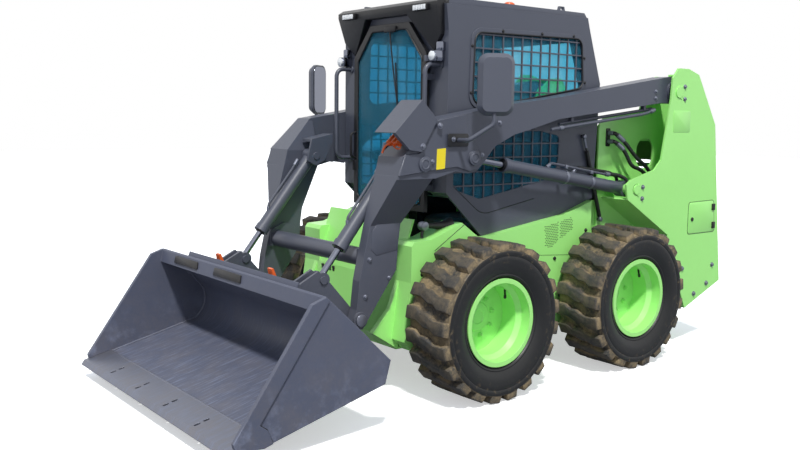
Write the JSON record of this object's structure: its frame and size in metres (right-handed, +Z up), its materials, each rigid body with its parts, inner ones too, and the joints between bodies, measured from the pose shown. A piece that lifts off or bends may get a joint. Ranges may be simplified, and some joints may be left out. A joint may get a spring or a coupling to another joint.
{
  "type": "skid steer loader",
  "caption": "Compact wheeled loader with radial lift arms, a meshed cab, a tall rear tower each side and a bucket on a quick attach plate.",
  "frame": {"origin": "on the ground at the middle of the machine's box", "axes": "+Z up, the machine looks along -Y, +X to its left side"},
  "size_m": [1.7008, 3.6873, 2.0923],
  "materials": {
    "green_paint": "gloss",
    "dark_paint": "satin",
    "black_paint": "satin",
    "bucket_paint": "satin, scuffed",
    "worn_steel": "scraped bare at the edge",
    "glass_teal": "tinted, clear",
    "tyre_rubber": "matt with dried dirt",
    "chrome_rod": "polished",
    "orange_plastic": "gloss",
    "lamp_lens": "clear lens",
    "seat_vinyl": "soft black vinyl",
    "black_plastic": "grained",
    "engine_iron": "plain"
  },
  "bodies": {
    "chassis": {"chassis_frame": "green_paint", "tower_left": "green_paint", "tower_right": "green_paint", "engine_block": "engine_iron", "axle_housings": "green_paint", "cab_shell": "dark_paint", "cab_roof": "dark_paint", "window_grilles": "dark_paint", "cab_glass": "glass_teal", "seat": "seat_vinyl", "controls": "black_plastic", "work_lamps": "lamp_lens", "grab_rails": "dark_paint", "cab_struts": "black_paint"},
    "hood": {"hood": "green_paint"},
    "tailgate": {"tailgate": "green_paint"},
    "door": {"door_frame": "black_paint", "door_glass": "glass_teal"},
    "arms": {"arm_left": "dark_paint", "arm_right": "dark_paint", "cross_tube": "dark_paint", "coupler_guard": "dark_paint", "couplers": "orange_plastic", "mirrors": "dark_paint", "arm_pipes": "dark_paint"},
    "attach": {"quick_attach": "dark_paint", "latch_levers": "orange_plastic", "bucket": "bucket_paint", "cutting_edge": "worn_steel"},
    "wheel_front_left": {"tyre_front_left": "tyre_rubber", "rim_front_left": "green_paint"},
    "wheel_front_right": {"tyre_front_right": "tyre_rubber", "rim_front_right": "green_paint"},
    "wheel_rear_left": {"tyre_rear_left": "tyre_rubber", "rim_rear_left": "green_paint"},
    "wheel_rear_right": {"tyre_rear_right": "tyre_rubber", "rim_rear_right": "green_paint"},
    "lift_barrel_left": {"lift_barrel_left": "dark_paint"},
    "lift_rod_left": {"lift_rod_left": "chrome_rod"},
    "tilt_barrel_left": {"tilt_barrel_left": "dark_paint"},
    "tilt_rod_left": {"tilt_rod_left": "chrome_rod"},
    "lift_barrel_right": {"lift_barrel_right": "dark_paint"},
    "lift_rod_right": {"lift_rod_right": "chrome_rod"},
    "tilt_barrel_right": {"tilt_barrel_right": "dark_paint"},
    "tilt_rod_right": {"tilt_rod_right": "chrome_rod"}
  },
  "joints": [
    {"name": "wheel_front_left_spin", "type": "hinge", "parent": "chassis", "child": "wheel_front_left", "pos_m": [0.68, -0.29, 0.41], "axis": [1, 0, 0], "continuous": true},
    {"name": "wheel_front_right_spin", "type": "hinge", "parent": "chassis", "child": "wheel_front_right", "pos_m": [-0.68, -0.29, 0.41], "axis": [1, 0, 0], "continuous": true},
    {"name": "wheel_rear_left_spin", "type": "hinge", "parent": "chassis", "child": "wheel_rear_left", "pos_m": [0.68, 0.81, 0.41], "axis": [1, 0, 0], "continuous": true},
    {"name": "wheel_rear_right_spin", "type": "hinge", "parent": "chassis", "child": "wheel_rear_right", "pos_m": [-0.68, 0.81, 0.41], "axis": [1, 0, 0], "continuous": true},
    {"name": "arm_lift", "type": "hinge", "parent": "chassis", "child": "arms", "pos_m": [0, 1.306, 1.601], "axis": [-1, 0, 0], "range_deg": [-4, 60]},
    {"name": "attach_tilt", "type": "hinge", "parent": "arms", "child": "attach", "pos_m": [0, -0.938, 0.45], "axis": [1, 0, 0], "range_deg": [-30, 60]},
    {"name": "door_swing", "type": "hinge", "parent": "chassis", "child": "door", "pos_m": [0.336, -0.422, 1.43], "axis": [0, 0, 1], "range_deg": [0, 90]},
    {"name": "hood_lift", "type": "hinge", "parent": "chassis", "child": "hood", "pos_m": [0, 0.85, 1.372], "axis": [1, 0, 0], "range_deg": [0, 60]},
    {"name": "tailgate_swing", "type": "hinge", "parent": "chassis", "child": "tailgate", "pos_m": [0.447, 1.79666, 0.8], "axis": [0, 0.1338, -0.991], "range_deg": [0, 100]},
    {"name": "lift_barrel_left_swing", "type": "hinge", "parent": "chassis", "child": "lift_barrel_left", "pos_m": [0.555, 0.93, 1.022], "axis": [-1, 0, 0], "range_deg": [-4.05, 58.02]},
    {"name": "lift_rod_left_slide", "type": "slide", "parent": "lift_barrel_left", "child": "lift_rod_left", "axis": [0, -0.9869, 0.1611], "range_m": [-0.0468, 0.6887]},
    {"name": "tilt_barrel_left_swing", "type": "hinge", "parent": "arms", "child": "tilt_barrel_left", "pos_m": [0.385, -0.662, 1.205], "axis": [1, 0, 0], "range_deg": [-2.65, 5.1]},
    {"name": "tilt_rod_left_slide", "type": "slide", "parent": "tilt_barrel_left", "child": "tilt_rod_left", "axis": [0, -0.6259, -0.7799], "range_m": [-0.1276, 0.2542]},
    {"name": "lift_barrel_right_swing", "type": "hinge", "parent": "chassis", "child": "lift_barrel_right", "pos_m": [-0.555, 0.93, 1.022], "axis": [-1, 0, 0], "range_deg": [-4.05, 58.02]},
    {"name": "lift_rod_right_slide", "type": "slide", "parent": "lift_barrel_right", "child": "lift_rod_right", "axis": [0, -0.9869, 0.1611], "range_m": [-0.0468, 0.6887]},
    {"name": "tilt_barrel_right_swing", "type": "hinge", "parent": "arms", "child": "tilt_barrel_right", "pos_m": [-0.385, -0.662, 1.205], "axis": [1, 0, 0], "range_deg": [-2.65, 5.1]},
    {"name": "tilt_rod_right_slide", "type": "slide", "parent": "tilt_barrel_right", "child": "tilt_rod_right", "axis": [0, -0.6259, -0.7799], "range_m": [-0.1276, 0.2542]}
  ],
  "couplings": [
    {"joint": "lift_barrel_left_swing", "follows": "arm_lift", "ratio": 0.96358},
    {"joint": "lift_rod_left_slide", "follows": "arm_lift", "m_per_rad": 0.65668},
    {"joint": "tilt_barrel_left_swing", "follows": "attach_tilt", "ratio": 0.081643},
    {"joint": "tilt_rod_left_slide", "follows": "attach_tilt", "m_per_rad": 0.24182},
    {"joint": "lift_barrel_right_swing", "follows": "arm_lift", "ratio": 0.96358},
    {"joint": "lift_rod_right_slide", "follows": "arm_lift", "m_per_rad": 0.65668},
    {"joint": "tilt_barrel_right_swing", "follows": "attach_tilt", "ratio": 0.081643},
    {"joint": "tilt_rod_right_slide", "follows": "attach_tilt", "m_per_rad": 0.24182}
  ]
}
